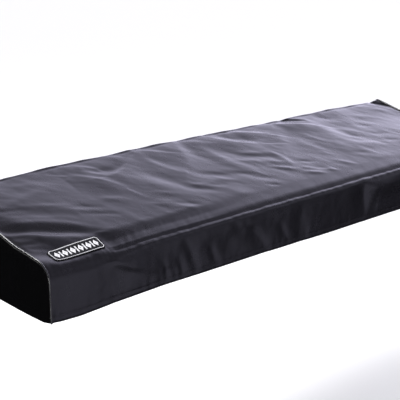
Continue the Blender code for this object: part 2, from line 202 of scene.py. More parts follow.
# Small creases of the top, in the same columns
TOP_CREASES = (
    ("block_nick_a", 10, 92, 24, 87, 46, 77, 12, 7, 1.3),
    ("block_nick_b", 10, 116, 20, 109, 38, 99, 10, 6, 1.2),
    ("block_nick_c", 12, 76, 20, 68, 34, 60, 10, 7, 1.0),
    ("block_nick_d", 10, 126, 30, 120, 52, 108, 6, 6, -0.7),
    ("left_groove_a", 45, 219, 66, 213, 90, 204, 8, 9, -0.8),
    ("left_wave_b", 50, 186, 105, 166, 154, 141, 20, 10, 1.2),
    ("left_wave_c", 100, 218, 145, 202, 196, 176, 20, 10, 1.2),
    ("left_groove_d", 188, 144, 218, 128, 250, 110, 7, 9, -0.8),
    ("left_groove_e", 196, 172, 218, 162, 240, 150, 8, 8, -0.8),
    ("left_wave_f", 160, 176, 190, 160, 216, 146, 18, 9, 0.8),
    ("left_crease", 252, 302, 250, 262, 246, 226, 6, 5, -0.4),
    ("left_wave_g", 130, 300, 165, 296, 200, 284, 16, 12, 0.8),
    ("mid_wave_a", 266, 181, 286, 173, 310, 161, 14, 8, 1.0),
    ("mid_wave_b", 392, 154, 406, 143, 424, 127, 18, 8, 1.0),
    ("mid_groove_b", 386, 140, 392, 130, 404, 122, 8, 10, -0.5),
    ("mid_wave_c", 346, 117, 368, 107, 394, 90, 12, 7, 0.9),
    ("mid_wave_d", 384, 84, 398, 76, 416, 64, 12, 7, 1.0),
    ("mid_wave_e", 366, 122, 388, 110, 414, 92, 8, 6, 0.6),
    ("mid_groove_e", 396, 96, 412, 86, 434, 68, 6, 8, -0.9),
    ("mid_wave_f", 488, 162, 494, 142, 536, 137, 14, 9, 1.7),
    ("mid_groove_g", 512, 139, 532, 130, 552, 119, 8, 10, -1.3),
    ("mid_groove_h", 552, 181, 580, 166, 612, 149, 12, 12, -1.4),
    ("mid_wave_h", 566, 150, 584, 140, 606, 122, 12, 8, 0.9),
    ("mid_groove_i", 626, 154, 646, 140, 670, 125, 12, 10, -1.3),
    ("mid_groove_j", 650, 122, 666, 110, 688, 94, 12, 11, -1.2),
    ("mid_wave_k", 648, 77, 660, 70, 676, 61, 7, 7, -0.9),
    ("ripple_a", 692, 263, 702, 240, 714, 210, 14, 11, -0.7),
    ("ripple_b", 728, 232, 748, 224, 782, 208, 10, 10, 1.2),
    ("ripple_c", 722, 214, 758, 198, 798, 178, 12, 15, -1.2),
    ("ripple_d", 798, 210, 812, 182, 798, 142, 14, 10, 1.6),
    ("ripple_e", 688, 212, 698, 198, 712, 182, 12, 7, 1.0),
    ("ripple_f", 706, 202, 722, 190, 740, 176, 12, 7, 1.0),
    ("ripple_g", 722, 148, 734, 136, 748, 119, 10, 10, -0.6),
    ("ripple_h", 733, 148, 748, 139, 768, 124, 10, 7, 1.0),
    ("ripple_i", 752, 174, 772, 162, 796, 147, 12, 8, 0.9),
    ("ripple_j", 756, 129, 772, 120, 790, 108, 10, 7, 0.9),
    ("ripple_k", 824, 142, 840, 133, 858, 123, 7, 7, -0.9),
    ("ripple_l", 796, 89, 812, 81, 832, 67, 10, 7, 1.5),
    ("ripple_m", 811, 110, 825, 100, 844, 87, 10, 7, 1.0),
    ("ripple_q", 828, 96, 842, 89, 860, 80, 6, 8, -0.9),
    ("ripple_n", 860, 82, 868, 70, 880, 57, 12, 7, 1.2),
    ("ripple_o", 920, 234, 932, 206, 940, 160, 24, 12, 0.8),
    ("ripple_p", 928, 102, 938, 88, 950, 70, 12, 8, 1.0),
    ("ripple_r", 972, 262, 982, 232, 988, 190, 18, 14, 1.0),
    ("far_groove_a", 1092, 202, 1106, 194, 1126, 182, 9, 10, -0.7),
    ("far_groove_b", 1178, 180, 1194, 175, 1214, 168, 9, 9, -0.9),
    ("far_groove_c", 1176, 138, 1192, 131, 1210, 122, 9, 9, -0.9),
    ("far_groove_d", 1010, 116, 1028, 107, 1048, 96, 10, 9, -0.8),
    ("far_groove_e", 1186, 240, 1204, 229, 1230, 218, 9, 10, -0.7),
    ("far_wave_f", 1230, 298, 1258, 284, 1296, 264, 18, 12, 0.8),
    ("far_wave_g", 1300, 346, 1326, 336, 1356, 316, 26, 11, 1.1),
    ("far_wave_h", 1316, 314, 1344, 302, 1376, 284, 26, 10, 0.8),
    ("far_wave_i", 1218, 250, 1236, 234, 1258, 214, 18, 11, 0.6),
    ("far_wave_j", 1118, 232, 1132, 220, 1148, 203, 12, 9, 0.5),
)

# Folds of the front face: name, start x z, middle x z, end x z, width of the lower and upper flank, height
FRONT_FOLDS = (
    ("pinch_brow", 128, 96, 176, 60, 262, 40, 14, 34, 5.2),
    ("pinch_line", 134, 90, 166, 66, 206, 52, 7, 10, 1.6),
    ("under_bulge", 150, 36, 195, 30, 240, 12, 18, 18, 2.6),
    ("block_soft", 60, 70, 90, 50, 110, 20, 24, 30, 1.8),
    ("pucker_a", 266, 50, 276, 34, 278, 12, 7, 6, -1.6),
    ("pucker_a_lip", 268, 36, 284, 30, 286, 14, 7, 7, 1.0),
    ("pucker_b", 308, 44, 318, 30, 322, 12, 7, 7, -1.4),
    ("pucker_c", 328, 76, 348, 48, 356, 16, 12, 8, -2.2),
    ("pucker_d", 392, 54, 406, 36, 412, 13, 11, 8, -2.2),
    ("hollow_brow", 444, 94, 474, 90, 506, 78, 18, 26, 1.2),
    ("hollow_spot", 462, 90, 474, 80, 480, 64, 13, 12, -2.0),
    ("soft_dip", 420, 60, 450, 40, 480, 30, 22, 22, -2.6),
    ("lower_pleat", 500, 68, 536, 50, 562, 14, 22, 11, -3.4),
    ("pucker_e", 604, 50, 620, 36, 630, 14, 12, 9, -2.4),
    ("panel_break", 676, 88, 678, 50, 674, 10, 30, 20, -2.0),
    ("right_dip", 900, 90, 905, 60, 902, 22, 30, 16, -4.8),
    ("right_bulge", 922, 80, 980, 70, 1050, 64, 20, 34, 7.0),
    ("right_hem_fold", 960, 26, 1000, 20, 1040, 14, 12, 8, 2.6),
    ("far_pleat", 1216, 80, 1226, 50, 1236, 14, 20, 12, -4.2),
    ("far_pucker_a", 1118, 66, 1132, 44, 1146, 16, 14, 9, -3.4),
    ("far_pucker_b", 1308, 70, 1320, 46, 1332, 14, 14, 9, -3.2),
)

# Folds of the back face, in the columns of the front: start x z, middle x z, end x z, flanks, height
BACK_FOLDS = (
    ("back_pleat_a", 320, 150, 330, 90, 322, 20, 18, 26, 3.4),
    ("back_pleat_b", 655, 155, 640, 90, 650, 20, 22, 24, 3.0),
    ("back_pleat_c", 1000, 155, 1018, 90, 1010, 20, 20, 26, 3.8),
    ("back_pucker_a", 180, 60, 190, 40, 204, 14, 12, 7, 2.6),
    ("back_pucker_b", 470, 70, 478, 45, 488, 14, 12, 7, 2.6),
    ("back_pucker_c", 820, 64, 832, 42, 850, 16, 12, 7, 2.8),
    ("back_pucker_d", 1190, 80, 1200, 50, 1210, 16, 12, 8, 2.6),
    ("back_brow", 60, 140, 150, 120, 250, 60, 22, 36, 3.6),
)

# Creases of an end panel: name, start y z, middle y z, end y z, flanks, height
END_FOLDS = (
    ("seam_puff", 30, 90, 150, 117, 320, 154, 10, 7, 1.6),
    ("end_pleat_a", 95, 105, 100, 60, 90, 14, 14, 18, 2.0),
    ("end_pleat_b", 235, 130, 228, 80, 238, 18, 18, 16, 1.8),
    ("end_pucker", 165, 50, 172, 34, 180, 14, 7, 7, 1.4),
)


class CoverSizes(bpy.types.PropertyGroup):
    """Sizes of the cover that its user would change."""

    length: bpy.props.FloatProperty(
        name="Length", description="End seam to end seam", default=LENGTH, unit="LENGTH")
    depth: bpy.props.FloatProperty(
        name="Depth", description="Front face to back face", default=0.3535, unit="LENGTH")
    ledge_height: bpy.props.FloatProperty(
        name="Ledge height", description="Hem to the ledge in front of the keys", default=0.0990,
        unit="LENGTH")
    top_level: bpy.props.FloatProperty(
        name="Top height in front", description="Hem to the top plane, behind the ledge", default=0.1092,
        unit="LENGTH")
    top_level_y: bpy.props.FloatProperty(
        name="Place of that height", description="Front face to where it is measured", default=0.030,
        unit="LENGTH")
    top_back_height: bpy.props.FloatProperty(
        name="Top height at the back", description="Hem to the top plane at the back", default=0.1745,
        unit="LENGTH")
    corner_radius: bpy.props.FloatProperty(
        name="Front corner radius", description="Round front corner over the end blocks", default=0.041,
        unit="LENGTH")
    back_radius: bpy.props.FloatProperty(
        name="Back edge radius", description="Round edge along the back", default=0.009, unit="LENGTH")
    block_left: bpy.props.FloatProperty(
        name="Left block", description="Length of the plain block at the left end", default=0.150,
        unit="LENGTH")
    block_right: bpy.props.FloatProperty(
        name="Right block", description="Length of the plain block at the right end", default=0.060,
        unit="LENGTH")
    welt_radius: bpy.props.FloatProperty(
        name="Welt radius", description="Radius of the piping", default=0.0019, unit="LENGTH")
    hem_depth: bpy.props.FloatProperty(
        name="Hem depth", description="Hem edge to its row of stitches", default=0.0115, unit="LENGTH")
    stitch: bpy.props.FloatProperty(
        name="Stitch", description="Length of one stitch with its gap", default=0.0048, unit="LENGTH")
    badge_length: bpy.props.FloatProperty(
        name="Patch length", description="Length of the sewn patch", default=0.115, unit="LENGTH")
    badge_height: bpy.props.FloatProperty(
        name="Patch height", description="Height of the sewn patch", default=0.034, unit="LENGTH")


class CoverColours(bpy.types.PropertyGroup):
    """Colours of the cover's cloths and of the stage."""

    nylon: bpy.props.FloatVectorProperty(
        name="Nylon", description="Woven outer cloth", default=(0.0050, 0.0047, 0.0064), subtype="COLOR")
    # The end panels are the same nylon as the wrap; this colour is darkened as painted shade, since they
    # face away from the light
    end_nylon: bpy.props.FloatVectorProperty(
        name="End nylon", description="Cloth of the end panels", default=(0.0008, 0.0008, 0.0009),
        subtype="COLOR")
    welt: bpy.props.FloatVectorProperty(
        name="Welt", description="Satin of the piping", default=(0.010, 0.010, 0.011), subtype="COLOR")
    thread: bpy.props.FloatVectorProperty(
        name="Seam thread", description="Dark sewing thread", default=(0.012, 0.012, 0.014), subtype="COLOR")
    patch: bpy.props.FloatVectorProperty(
        name="Patch", description="Ground of the patch", default=(0.006, 0.006, 0.007), subtype="COLOR")
    patch_thread: bpy.props.FloatVectorProperty(
        name="Patch thread", description="Pale thread of the patch", default=(0.66, 0.66, 0.68),
        subtype="COLOR")
    floor: bpy.props.FloatVectorProperty(
        name="Floor", description="Pale studio floor", default=(0.90, 0.90, 0.90), subtype="COLOR")


def smooth_step(low, high, value):
    """0 below low, 1 above high, with level ends."""
    t = np.clip((value - low) / (high - low), 0.0, 1.0)
    return t * t * (3.0 - 2.0 * t)


def band(value, rise_start, rise_end, fall_start, fall_end):
    """1 between the rise and the fall, 0 before and after them."""
    return smooth_step(rise_start, rise_end, value) * (1.0 - smooth_step(fall_start, fall_end, value))


def ridge(value, middle, width):
    """A soft ridge, 1 at its middle."""
    return np.exp(-(((value - middle) / width) ** 2))


def looked_up(table, at):
    """The second column of a table in millimetres, read between its rows at the first column's value."""
    places, values = MM * np.array(table).T
    return np.interp(at, places, values)


def straight(start, end, spans):
    """Points from start up to, and without, end."""
    shares = np.arange(spans) / spans
    return [tuple(np.array(start) + share * (np.array(end) - np.array(start))) for share in shares]


def arc(centre, radius, start_angle, end_angle, spans):
    """Points of an arc, without its last one."""
    angles = start_angle + (end_angle - start_angle) * np.arange(spans) / spans
    return [(centre[0] + radius * math.cos(a), centre[1] + radius * math.sin(a)) for a in angles]


def through(points, spans):
    """A smooth curve through the points, without its last one, with a number of spans after each."""
    padded = [points[0]] + list(points) + [points[-1]]
    curve = []
    for index, count in enumerate(spans):
        p0, p1, p2, p3 = (np.array(padded[index + k]) for k in range(4))
        for t in np.arange(count) / count:
            square = (2 * p0 - 5 * p1 + 4 * p2 - p3) * t**2
            cube = (3 * p1 - p0 - 3 * p2 + p3) * t**3
            curve.append(tuple(0.5 * (2 * p1 + (p2 - p0) * t + square + cube)))
    return curve


def fold_height(table, across, along, lean=0.0):
    """Summed height of a table's folds: crests with unlike flanks that die away towards both ends.

    Folds of the top are drawn where a low view sees them; lean moves a raised crest back towards the viewer.
    """
    total = np.zeros_like(across)
    blur, side_blur = 0.0025, 0.002
    for _, *row in table:
        x0, y0, x1, y1, x2, y2, near, far, height = MM * np.array(row)
        reach = 3.0 * max(near, far)
        close = ((across > min(x0, x1, x2) - reach) & (across < max(x0, x1, x2) + reach)
                 & (along > min(y0, y1, y2) - reach) & (along < max(y0, y1, y2) + reach))
        a, b = across[close] + lean * height, along[close] + lean * height
        if not a.size:
            continue
        t = np.linspace(0.0, 1.0, 25)[:, None]
        px = (1 - t) ** 2 * x0 + 2 * t * (1 - t) * x1 + t**2 * x2
        py = (1 - t) ** 2 * y0 + 2 * t * (1 - t) * y1 + t**2 * y2
        tx = (1 - t) * (x1 - x0) + t * (x2 - x1)
        ty = (1 - t) * (y1 - y0) + t * (y2 - y1)
        distances = np.hypot(a - px, b - py)
        sides = (tx * (b - py) - ty * (a - px)) / np.hypot(tx, ty)
        best = distances.min(axis=0)
        weights = np.exp((best - distances) / blur)
        weights /= weights.sum(axis=0)
        share = (weights * t).sum(axis=0)
        side = (weights * sides).sum(axis=0)
        width = near + (far - near) * smooth_step(-side_blur, side_blur, side)
        fade = np.sin(np.pi * (0.10 + 0.80 * share)) ** 0.8
        total[close] += height * fade * ridge(best, 0.0, width)
    return total


def cloth_noise(across, along, stretch, size):
    """Soft unevenness of limp cloth, drawn out along the folds by stretch, between about -1 and 1."""
    flat = np.stack([across.ravel() / size, along.ravel() / (size * stretch)], axis=1)
    values = [noise.noise(Vector((u, v, size * 7.0))) for u, v in flat]
    return np.array(values).reshape(across.shape)


def outward(girth):
    """Unit vectors that point out of the cover, square to the girth in its own plane."""
    tangent = np.gradient(girth, axis=0)
    tangent /= np.linalg.norm(tangent, axis=1)[:, None]
    return np.stack([-tangent[:, 1], tangent[:, 0]], axis=1)


class CoverShape:
    """The cover's outer surface in drawing coordinates, from its sizes and tables."""

    columns = 384
    front_spans = 28
    front_hem_rows = 9
    arc_spans = 26
    top_spans = 80
    back_edge_spans = 8
    back_spans = 28
    back_hem_rows = 8
    corner_spans = sum(row[-1] for row in KEY_CORNER)
    corner_end_y = 0.070
    hem_rows_reach = 1.4
    close_columns = (0.0, 0.0010, 0.0020, 0.0034, 0.0050, 0.0070, 0.0095)
    even_columns_start = 0.0125
    seam_drop = 0.0012
    seam_drop_width = 0.005

    def __init__(self, sizes):
        self.sizes = sizes
        self.slope = (sizes.top_back_height - sizes.top_level) / (sizes.depth - sizes.top_level_y)
        self.angle = math.atan(self.slope)
        rest = self.top_height(sizes.depth / 2) - CLOTH / math.cos(self.angle)
        self.place = np.array([-sizes.length / 2, -sizes.depth / 2, -rest])
        start, end = CLOTH + GAP, sizes.length - CLOTH - GAP
        close, even = np.array(self.close_columns), self.even_columns_start
        middle = np.linspace(start + even, end - even, self.columns + 1 - 2 * len(close))
        self.wrap_x = np.concatenate([start + close, middle, end - close[::-1]])

    def top_height(self, y):
        """Height of the plain top plane above the hem."""
        return self.sizes.top_level + self.slope * (y - self.sizes.top_level_y)

    def front_drop(self, top):
        """The front drop from hem to top, with close rows in the hem."""
        hem = self.hem_rows_reach * self.sizes.hem_depth
        points = straight((0.0, 0.0), (0.0, hem), self.front_hem_rows)
        return points + straight((0.0, hem), (0.0, top), self.front_spans - self.front_hem_rows)

    def back_part(self, top_start):
        """The girth from a point of the top to the back hem."""
        depth, radius = self.sizes.depth, self.sizes.back_radius
        centre_y = depth - radius
        centre_z = self.top_height(centre_y) - radius / math.cos(self.angle)
        touch = (centre_y - radius * math.sin(self.angle), centre_z + radius * math.cos(self.angle))
        hem = self.hem_rows_reach * self.sizes.hem_depth
        points = straight(top_start, touch, self.top_spans)
        points += arc((centre_y, centre_z), radius, math.pi / 2 + self.angle, 0.0, self.back_edge_spans)
        points += straight((depth, centre_z), (depth, hem), self.back_spans - self.back_hem_rows)
        points += straight((depth, hem), (depth, 0.0), self.back_hem_rows)
        return points + [(depth, 0.0)]

    def key_girth(self, side):
        """The girth over the keys, left or right, with its ledge, step and soft roll."""
        column = 1 if side == "left" else 3
        ledge = self.sizes.ledge_height
        stations = [(MM * row[column], ledge + MM * row[column + 1]) for row in KEY_CORNER]
        top_start = (self.corner_end_y, self.top_height(self.corner_end_y))
        points = self.front_drop(stations[0][1])
        points += through(stations + [top_start], [row[-1] for row in KEY_CORNER])
        return np.array(points + self.back_part(top_start))

    def block_girth(self):
        """The girth over the end blocks, with one round front corner."""
        radius = self.sizes.corner_radius
        top_start = (self.corner_end_y, self.top_height(self.corner_end_y))
        touch_y = radius * (1 - math.sin(self.angle))
        touch = (touch_y, self.top_height(touch_y))
        centre = (radius, touch[1] - radius * math.cos(self.angle))
        points = self.front_drop(centre[1])
        points += arc(centre, radius, math.pi, math.pi / 2 + self.angle, self.arc_spans)
        points += straight(touch, top_start, self.corner_spans - self.arc_spans)
        return np.array(points + self.back_part(top_start))

    def block_share(self, x):
        """1 over the end blocks, 0 over the keys, with a faint tail past the left block."""
        left_end, right_start = self.sizes.block_left, self.sizes.length - self.sizes.block_right
        left_fade, right_fade, tail_length, tail_share = 0.024, 0.017, 0.22, 0.12
        left = 1.0 - smooth_step(left_end - left_fade, left_end + left_fade, x)
        left += tail_share * (1.0 - left) * (1.0 - smooth_step(left_end, left_end + tail_length, x))
        return left + smooth_step(right_start - right_fade, right_start + right_fade, x)

    def plain(self, x):
        """The surface before its folds: points, outward directions, girth lengths and block share."""
        share = self.block_share(x)[:, None, None]
        right = smooth_step(0.38, 0.54, x)[:, None, None]
        over_keys = right * self.key_girth("right") + (1 - right) * self.key_girth("left")
        girth = share * self.block_girth() + (1 - share) * over_keys
        normals = np.array([outward(line) for line in girth])
        steps = np.linalg.norm(np.diff(girth, axis=1), axis=2)
        lengths = np.concatenate([np.zeros((len(x), 1)), np.cumsum(steps, axis=1)], axis=1)
        return girth, normals, lengths, np.broadcast_to(share[..., 0], lengths.shape)

    def sides(self, y, share):
        """How far each place belongs to the front face, to the back face and to the top, from 0 to 1."""
        depth = self.sizes.depth
        on_front = 1.0 - smooth_step(-0.002, 0.004, y)
        on_back = smooth_step(depth - 0.004, depth - 0.001, y)
        on_top = smooth_step(0.050, 0.066, y) + share * smooth_step(0.030, 0.060, y)
        return on_front, on_back, np.minimum(on_top, 1.0) * (1 - on_back)

    def surface(self, x, fine=True):
        """Outer surface at the places x, as an array of x, girth step and (x, y, z), with cloth lengths."""
        seam_fade, form_lean, fold_lean = 0.012, 1.8, 1.1
        girth, normals, lengths, share = self.plain(x)
        y, z = girth[..., 0], girth[..., 1]
        across = np.broadcast_to(x[:, None], y.shape).copy()
        on_front, on_back, on_top = self.sides(y, share)
        folds_of_top = on_top * (1 - 0.45 * smooth_step(0.336, self.sizes.depth, y))
        raised = self.back_lift(across, y, z) + self.crown(across, y)
        seen_x, seen_y = across + form_lean * raised, y + form_lean * raised
        rise = folds_of_top * fold_height(TOP_FOLDS, seen_x, seen_y, fold_lean)
        rise += on_front * fold_height(FRONT_FOLDS, across, z)
        rise += on_back * fold_height(BACK_FOLDS, across, z)
        if fine:
            rise += folds_of_top * fold_height(TOP_CREASES, seen_x, seen_y, fold_lean)
            rise += self.unevenness(across, y, lengths, share, on_top, np.maximum(on_front, on_back))
            rise += self.pinch(across, y, z)
            rise += self.hem(across, lengths, lengths[:, -1:] - lengths)
            rise += self.back_seam(across, y, on_back)
        from_end = np.minimum(across, self.sizes.length - across)
        rise *= smooth_step(0.0, seam_fade, from_end)
        rise -= self.seam_drop * np.clip(1 - from_end / self.seam_drop_width, 0.0, 1.0) ** 2
        at_hem = (1 - smooth_step(0.0, 0.050, z)) * (1 - on_back)
        at_ledge = smooth_step(0.070, 0.092, z) * (1 - smooth_step(0.036, 0.070, y)) * (1 - share)
        lift = raised + self.block_sag(across, y)
        lift += at_hem * looked_up(HEM_LIFT, across) + at_ledge * looked_up(LEDGE_LIFT, across)
        points = np.stack([across, y + rise * normals[..., 0], z + rise * normals[..., 1] + lift], axis=-1)
        return points, lengths

    def unevenness(self, across, y, lengths, share, on_top, drops):
        """The small unevenness of padding under limp cloth, different on every face."""
        places = {
            "top": on_top,
            "drops": drops,
            "roll": (1 - share) * band(y, 0.013, 0.020, 0.040, 0.056),
            "ledge": (1 - share) * band(y, 0.0, 0.004, 0.011, 0.015),
            "corner": share * band(y, 0.0, 0.008, 0.012, 0.024),
        }
        hatch = 0.00012 + 0.0003 * (1 - smooth_step(0.28, 0.50, across))
        rise = places["roll"] * hatch * cloth_noise(across - 0.7 * y, lengths, 2.4, 0.010)
        for place, height, shift, stretch, size in UNEVENNESS:
            slant = 0.45 * lengths if place == "top" else 0.0
            bumps = cloth_noise(across + slant + shift, lengths, stretch, MM * size)
            rise += MM * height * places[place] * bumps
        return rise

    def back_lift(self, across, y, z):
        """The rise of the top and the back drop towards the bowed back edge."""
        at_back = smooth_step(0.230, self.sizes.depth, y) * z / self.sizes.top_back_height
        return at_back * looked_up(BACK_LIFT, across)

    def crown(self, across, y):
        """The padded top is a little domed between its ends."""
        height, middle_y, half_width = 0.0050, 0.190, 0.165
        length = self.sizes.length
        inside = band(across, -0.14, 0.24, length - 0.16, length)
        return height * inside * np.clip(1 - ((y - middle_y) / half_width) ** 2, 0.0, 1.0)

    def block_sag(self, across, y):
        """The cloth sinks in front of the slanting fold that crosses the left block, less so at its seam."""
        fold_y, toward_x, toward_y = 0.168, -0.459, -0.888
        deepest, deepest_at, seam_fade = 0.0096, 0.106, 0.060
        ahead = across * toward_x + (y - fold_y) * toward_y
        front_fade = 0.030 + 0.024 * smooth_step(0.14, 0.20, across)
        sag = -deepest * smooth_step(0.0, deepest_at, ahead) * smooth_step(0.0, front_fade, y)
        inward = smooth_step(0.0, seam_fade, across)
        return sag * inward + looked_up(SEAM_LIFT, y) * (1 - inward)

    def back_seam(self, across, y, on_back):
        """The raised seam allowance along the back edge, with a hollow before it."""
        from_back = self.sizes.depth - y
        short_wave, long_wave = 43.0, 17.0
        waver = 1 + 0.9 * np.sin(across * short_wave) * np.sin(across * long_wave + 1.0)
        rise = 0.0011 * ridge(from_back, 0.0080, 0.0036) - 0.0005 * ridge(from_back, 0.0145, 0.0050)
        return waver * rise * (1 - on_back)

    def pinch(self, across, y, z):
        """Short upright puckers where the front edge passes from the round block to the ledge."""
        height, pitch, width = 0.0004, 0.0105, 0.014
        middle = self.sizes.block_left - 0.006
        at_edge = smooth_step(0.060, 0.090, z) * (1 - smooth_step(0.030, 0.062, y))
        waves = np.cos(2 * np.pi * (across - middle) / pitch)
        return height * at_edge * waves * ridge(across, middle, width)

    def hem(self, across, from_front, from_back):
        """Each hem's doubled edge stands proud and rolls under, and its stitches pucker the padding."""
        depth = self.sizes.hem_depth
        short_wave, long_wave = 170.0, 23.0
        puckers = np.sin(across * short_wave + 5.0 * np.sin(across * long_wave))
        rise = np.zeros_like(across)
        for edge, phase in ((from_front, 0.0), (from_back, 2.0)):
            rise += 0.0005 * band(edge, 0.0, 0.002, depth - 0.003, depth)
            rise -= 0.0005 * ridge(edge, depth, 0.0018)
            rise -= 0.0016 * (1 - smooth_step(0.0, 0.0045, edge))
            wander = cloth_noise(across + phase, edge, 3.0, 0.020)
            rise += 0.0007 * ridge(edge, depth, 0.010) * wander * puckers
        return rise

    def outline(self, side):
        """Outer girth at an end seam, from front hem to back hem, as (y, z)."""
        x = 0.0 if side == "left" else self.sizes.length
        return self.surface(np.array([x]), fine=False)[0][0, :, 1:]

    def end_surface(self, side):
        """Outer surface of an end panel as an array of (x, y, z), and the outline of its upper edge."""
        depth, hem_depth, rows = self.sizes.depth, self.sizes.hem_depth, 44
        away, outer_x = (-1.0, 0.0) if side == "left" else (1.0, self.sizes.length)
        outline = self.outline(side)
        crown = outline[self.front_spans:len(outline) - self.back_spans]
        share = (np.arange(rows + 1) / rows)[None, :]
        y = np.repeat(crown[:, :1], rows + 1, axis=1)
        low = looked_up(END_HEM_LIFT, y)
        z = low + (crown[:, 1:] - low) * share
        below = 1 - share
        swell = np.sin(np.pi * y / depth) * np.sin(np.pi * np.minimum(0.5, 0.75 * below))
        ripple = 0.25 * np.sin(3.0 * np.pi * y / depth) * below
        rise = 0.0035 * swell * (1 + ripple)
        from_edge = np.minimum(np.minimum(y, depth - y), crown[:, 1:] - z)
        calm = smooth_step(0.0, 0.010, from_edge)
        rise += calm * fold_height(END_FOLDS, y, z)
        rise += calm * 0.0006 * cloth_noise(y + 5.0, z, 1.5, 0.045)
        rise += 0.0004 * band(z - low, 0.0, 0.002, hem_depth - 0.003, hem_depth)
        rise -= 0.0006 * ridge(z - low, hem_depth, 0.0020)
        return np.stack([outer_x + away * rise, y, z], axis=-1), crown

    def girth_length(self):
        """Length of cloth round the cover, hem to hem, over the keys."""
        steps = np.diff(self.key_girth("right"), axis=0)
        return float(np.linalg.norm(steps, axis=1).sum())

    def placed(self, points):
        """Drawing coordinates moved to the frame's own."""
        return np.asarray(points) + self.place


def face_grid(columns, rows, first):
    """Corner numbers of a grid's faces, for vertices numbered column by column from first."""
    column, row = np.meshgrid(np.arange(columns), np.arange(rows), indexing="ij")
    corner = first + column * (rows + 1) + row
    return np.stack([corner, corner + rows + 1, corner + rows + 2, corner + 1], axis=-1).reshape(-1, 4)


def linked_object(name, mesh, material):
    """An object with one finish, in the scene."""
    mesh.materials.append(material)
    obj = bpy.data.objects.new(name, mesh)
    bpy.context.scene.collection.objects.link(obj)
    return obj


def cloth_object(name, vertices, faces, vertex_uv, material):
    """A smooth object with a UV map called cloth."""
    mesh = bpy.data.meshes.new(name)
    mesh.from_pydata([tuple(v) for v in vertices], [], faces)
    layer = mesh.uv_layers.new(name="cloth")
    corners = np.empty(len(mesh.loops), dtype=np.int32)
    mesh.loops.foreach_get("vertex_index", corners)
    layer.data.foreach_set("uv", np.asarray(vertex_uv)[corners].astype(np.float32).ravel())
    mesh.shade_smooth()
    return linked_object(name, mesh, material)


def grid_object(name, points, cloth_uv, material, turned=False):
    """A smooth open grid object through an array of points."""
    columns, rows = points.shape[0] - 1, points.shape[1] - 1
    faces = face_grid(columns, rows, 0)
    if turned:
        faces = faces[:, ::-1]
    return cloth_object(name, points.reshape(-1, 3), faces.tolist(), cloth_uv.reshape(-1, 2), material)


def padded_shell(name, points, cloth_uv, thickness, material):
    """A closed sheet: fine outer face, plainer inner face on every second line, and the edge between."""
    normals = np.cross(np.gradient(points, axis=0), np.gradient(points, axis=1))
    normals /= np.linalg.norm(normals, axis=2)[..., None]
    inner_points = (points - thickness * normals)[::2, ::2]
    outer = np.arange(points.shape[0] * points.shape[1]).reshape(points.shape[:2])
    inner = outer.size + np.arange(inner_points.shape[0] * inner_points.shape[1])
    inner = inner.reshape(inner_points.shape[:2])
    faces = face_grid(outer.shape[0] - 1, outer.shape[1] - 1, 0).tolist()
    faces += face_grid(inner.shape[0] - 1, inner.shape[1] - 1, outer.size)[:, ::-1].tolist()
    for outer_edge, inner_edge, turned in (
        (outer[:, 0], inner[:, 0], True),
        (outer[:, -1], inner[:, -1], False),
        (outer[0], inner[0], False),
        (outer[-1], inner[-1], True),
    ):
        for k in range(len(inner_edge) - 1):
            face = [*outer_edge[2 * k:2 * k + 3].tolist(), int(inner_edge[k + 1]), int(inner_edge[k])]
            faces.append(face[::-1] if turned else face)
    vertices = np.concatenate([points.reshape(-1, 3), inner_points.reshape(-1, 3)])
    uv = np.concatenate([cloth_uv.reshape(-1, 2), cloth_uv[::2, ::2].reshape(-1, 2)])
    return cloth_object(name, vertices, faces, uv, material)


def thicken(obj, thickness, offset=-1.0):
    """Gives an open sheet its thickness."""
    shell = obj.modifiers.new("thickness", "SOLIDIFY")
    shell.thickness = thickness
    shell.offset = offset
    shell.use_rim = True
    shell.use_even_offset = True


def ring_round(work, centre, first, second, radius, sides):
    """A ring of vertices round a centre, in the plane of two directions."""
    angles = [2 * math.pi * k / sides for k in range(sides)]
    return [work.verts.new(centre + radius * (math.cos(a) * first + math.sin(a) * second)) for a in angles]


def joined(work, rings):
    """The faces between each ring of vertices and the next, a list for each pair."""
    bands = []
    for ring, following in zip(rings, rings[1:]):
        beside = [(k, (k + 1) % len(ring)) for k in range(len(ring))]
        bands.append([work.faces.new((ring[k], following[k], following[j], ring[j])) for k, j in beside])
    return bands


def close_ends(work, rings):
    """Flat faces on the first and the last ring."""
    work.faces.new(rings[0][::-1])
    work.faces.new(rings[-1])


def worked_object(name, work, material):
    """A smooth object from a bmesh, with its faces turned outwards."""
    bmesh.ops.recalc_face_normals(work, faces=work.faces)
    mesh = bpy.data.meshes.new(name)
    work.to_mesh(mesh)
    work.free()
    mesh.shade_smooth()
    return linked_object(name, mesh, material)


def run_lengths(path):
    """Length along a line of points up to each of them."""
    steps = np.linalg.norm(np.diff(path, axis=0), axis=1)
    return np.concatenate([[0.0], np.cumsum(steps)])


def tube_object(name, path, radii, sides, material):
    """A closed tube along a path, with a radius at each point and a UV map called cloth."""
    at = run_lengths(path)
    path = [Vector(p) for p in path]
    tube = bmesh.new()
    layer = tube.loops.layers.uv.new("cloth")
    across = Vector((1.0, 0.0, 0.0))
    rings = []
    for index, (point, radius) in enumerate(zip(path, map(float, radii))):
        ahead = (path[min(index + 1, len(path) - 1)] - path[max(index - 1, 0)]).normalized()
        first = (across - ahead * across.dot(ahead)).normalized()
        rings.append(ring_round(tube, point, first, ahead.cross(first), radius, sides))
    for index, faces in enumerate(joined(tube, rings)):
        turn = 2 * math.pi * radii[index] / sides
        for k, face in enumerate(faces):
            spots = ((k, index), (k, index + 1), (k + 1, index + 1), (k + 1, index))
            for loop, (side, step) in zip(face.loops, spots):
                loop[layer].uv = (turn * side, at[step])
    close_ends(tube, rings)
    return worked_object(name, tube, material)


